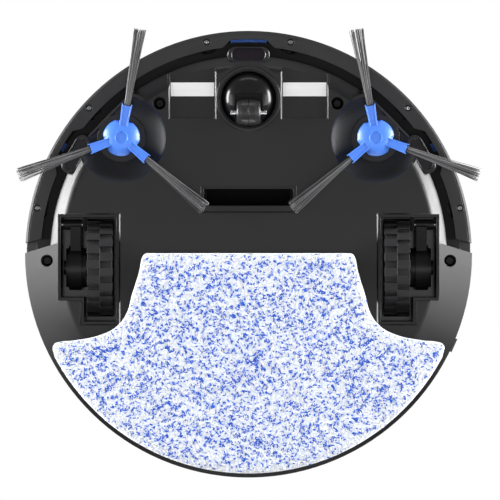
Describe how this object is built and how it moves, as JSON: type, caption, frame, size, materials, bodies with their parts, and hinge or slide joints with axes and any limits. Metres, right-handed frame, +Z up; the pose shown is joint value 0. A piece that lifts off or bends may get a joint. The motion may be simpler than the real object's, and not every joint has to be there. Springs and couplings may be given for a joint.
{
  "type": "robot vacuum",
  "caption": "Round robot floor cleaner with a sprung front bumper, two side brushes, drive wheels, a caster, a suction inlet with a dust bin, and a pull-out mop plate.",
  "frame": {"origin": "middle of the footprint on the floor that the robot stands on", "axes": "+Z up, -Y is the way the robot drives (the bumper), +X is the robot's own left"},
  "size_m": [0.3238, 0.3127, 0.0794],
  "materials": {
    "chassis_plastic": "fine moulded satin, near black",
    "frame_plastic": "fine spark-eroded texture, near black",
    "bumper_plastic": "fine spark-eroded texture, dark grey",
    "cover_gloss": "polished, near black",
    "panel_gloss": "mirror-polished black inlay",
    "light_diffuser": "milky translucent",
    "button_plastic": "satin with a soft edge",
    "smoked_lens": "polished infra-red window",
    "blue_plastic": "moulded blue, satin gloss",
    "bristle_nylon": "black nylon filament with a grey sheen",
    "tyre_rubber": "lugged rubber",
    "soft_rubber": "soft black rubber",
    "foam_blue": "closed-cell foam",
    "wheel_plastic": "moulded rim",
    "caster_plastic": "polished black acetal",
    "mop_plate_plastic": "moulded plate",
    "mop_fabric": "white and blue microfibre pile",
    "steel": "zinc-plated steel",
    "screw_black": "black-oxide screws",
    "contact_metal": "nickel-plated spring plate",
    "motor_metal": "plated motor can",
    "gear_acetal": "natural acetal",
    "battery_wrap": "heat-shrink sleeve",
    "board_green": "circuit board",
    "bin_smoke": "smoked transparent bin",
    "filter_paper": "pleated filter paper"
  },
  "bodies": {
    "chassis": {"base_chassis": "chassis_plastic", "side_frame": "frame_plastic", "top_cover": "cover_gloss", "top_panel": "panel_gloss", "light_ring": "light_diffuser", "main_board": "board_green", "battery_pack": "battery_wrap", "battery_door": "chassis_plastic", "charge_contacts": "contact_metal", "drop_sensors": "smoked_lens", "chassis_screws": "screw_black", "dock_sensors": "smoked_lens", "inlet_lip": "soft_rubber", "suction_duct": "frame_plastic", "fan_housing": "frame_plastic", "fan_motor": "motor_metal", "caster_socket": "chassis_plastic", "charge_jack": "soft_rubber", "bump_stops": "foam_blue", "bump_switches": "frame_plastic", "pivot_pins": "steel", "gear_cases": "frame_plastic", "brush_motors": "motor_metal", "suspension_spring_left": "steel", "suspension_spring_right": "steel"},
    "bumper": {"bumper_shell": "bumper_plastic", "bumper_window": "smoked_lens", "bumper_retainer": "bumper_plastic", "bumper_screws": "screw_black"},
    "caster_swivel": {"caster_fork": "caster_plastic", "caster_axle": "steel"},
    "caster_roller": {"caster_wheel": "caster_plastic"},
    "fan_rotor": {"fan_impeller": "gear_acetal"},
    "dust_bin": {"dust_bin": "bin_smoke", "bin_lid": "bin_smoke", "dust_filter": "filter_paper"},
    "bin_latch": {"bin_latch": "button_plastic"},
    "mop_unit": {"mop_plate": "mop_plate_plastic", "mop_pad": "mop_fabric"},
    "power_button": {"power_button": "button_plastic"},
    "power_rocker": {"power_rocker": "button_plastic"},
    "bump_lever_left": {"bump_lever_left": "gear_acetal"},
    "left_suspension": {"wheel_arm_left": "frame_plastic", "wheel_motor_left": "frame_plastic"},
    "left_wheel": {"wheel_hub_left": "wheel_plastic", "wheel_tyre_left": "tyre_rubber"},
    "left_brush": {"brush_hub_left": "blue_plastic", "brush_tufts_left": "bristle_nylon", "brush_gear_left": "gear_acetal"},
    "left_pinion": {"brush_pinion_left": "gear_acetal"},
    "bump_lever_right": {"bump_lever_right": "gear_acetal"},
    "right_suspension": {"wheel_arm_right": "frame_plastic", "wheel_motor_right": "frame_plastic"},
    "right_wheel": {"wheel_hub_right": "wheel_plastic", "wheel_tyre_right": "tyre_rubber"},
    "right_brush": {"brush_hub_right": "blue_plastic", "brush_tufts_right": "bristle_nylon", "brush_gear_right": "gear_acetal"},
    "right_pinion": {"brush_pinion_right": "gear_acetal"}
  },
  "joints": [
    {"name": "bumper_push", "type": "slide", "parent": "chassis", "child": "bumper", "axis": [0, 1, 0], "range_m": [0, 0.0035], "stiffness_N_per_m": 500, "springref_m": -0.004},
    {"name": "caster_swivel_turn", "type": "hinge", "parent": "chassis", "child": "caster_swivel", "pos_m": [0, -0.1074, 0.03], "axis": [0, 0, 1], "continuous": true},
    {"name": "caster_roll", "type": "hinge", "parent": "caster_swivel", "child": "caster_roller", "pos_m": [0, -0.098, 0.0094], "axis": [1, 0, 0], "continuous": true},
    {"name": "fan_spin", "type": "hinge", "parent": "chassis", "child": "fan_rotor", "pos_m": [0, -0.065, 0.045], "axis": [0, 0, 1], "continuous": true},
    {"name": "bin_pull", "type": "slide", "parent": "chassis", "child": "dust_bin", "axis": [0, 1, 0], "range_m": [0, 0.155]},
    {"name": "bin_latch_press", "type": "slide", "parent": "dust_bin", "child": "bin_latch", "axis": [0, -1, 0], "range_m": [0, 0.002], "stiffness_N_per_m": 400, "springref_m": -0.002},
    {"name": "mop_pull", "type": "slide", "parent": "chassis", "child": "mop_unit", "axis": [0, 1, 0], "range_m": [0, 0.16]},
    {"name": "power_button_press", "type": "slide", "parent": "chassis", "child": "power_button", "axis": [0, 0, -1], "range_m": [0, 0.0007], "stiffness_N_per_m": 1500, "springref_m": -0.001},
    {"name": "power_rocker_tilt", "type": "hinge", "parent": "chassis", "child": "power_rocker", "pos_m": [0.13886, 0.06182, 0.0525], "axis": [0.4067, -0.9135, 0], "range_deg": [0, 12]},
    {"name": "left_bump_lever_turn", "type": "hinge", "parent": "chassis", "child": "bump_lever_left", "pos_m": [0.046, -0.131, 0.0425], "axis": [0, 0, 1], "range_deg": [0, 14.1]},
    {"name": "left_suspension_drop", "type": "hinge", "parent": "chassis", "child": "left_suspension", "pos_m": [0.122, -0.0205, 0.027], "axis": [1, 0, 0], "range_deg": [-25, 0], "stiffness_Nm_per_rad": 0.2, "springref_deg": -51.57, "deforming": ["suspension_spring_left"]},
    {"name": "left_wheel_spin", "type": "hinge", "parent": "left_suspension", "child": "left_wheel", "pos_m": [0.1, 0.0095, 0.034], "axis": [1, 0, 0], "continuous": true},
    {"name": "left_brush_spin", "type": "hinge", "parent": "chassis", "child": "left_brush", "pos_m": [0.088, -0.0805, 0.012], "axis": [0, 0, 1], "continuous": true},
    {"name": "left_pinion_spin", "type": "hinge", "parent": "chassis", "child": "left_pinion", "pos_m": [0.06875, -0.0805, 0.022], "axis": [0, 0, 1], "continuous": true},
    {"name": "right_bump_lever_turn", "type": "hinge", "parent": "chassis", "child": "bump_lever_right", "pos_m": [-0.046, -0.131, 0.0425], "axis": [0, 0, -1], "range_deg": [0, 14.1]},
    {"name": "right_suspension_drop", "type": "hinge", "parent": "chassis", "child": "right_suspension", "pos_m": [-0.122, -0.0205, 0.027], "axis": [1, 0, 0], "range_deg": [-25, 0], "stiffness_Nm_per_rad": 0.2, "springref_deg": -51.57, "deforming": ["suspension_spring_right"]},
    {"name": "right_wheel_spin", "type": "hinge", "parent": "right_suspension", "child": "right_wheel", "pos_m": [-0.1, 0.0095, 0.034], "axis": [1, 0, 0], "continuous": true},
    {"name": "right_brush_spin", "type": "hinge", "parent": "chassis", "child": "right_brush", "pos_m": [-0.088, -0.0805, 0.012], "axis": [0, 0, 1], "continuous": true},
    {"name": "right_pinion_spin", "type": "hinge", "parent": "chassis", "child": "right_pinion", "pos_m": [-0.06875, -0.0805, 0.022], "axis": [0, 0, 1], "continuous": true}
  ],
  "couplings": [
    {"joint": "left_bump_lever_turn", "follows": "bumper_push", "rad_per_m": 70},
    {"joint": "left_pinion_spin", "follows": "left_brush_spin", "ratio": -2.1667},
    {"joint": "right_bump_lever_turn", "follows": "bumper_push", "rad_per_m": 70},
    {"joint": "right_pinion_spin", "follows": "right_brush_spin", "ratio": -2.1667}
  ]
}
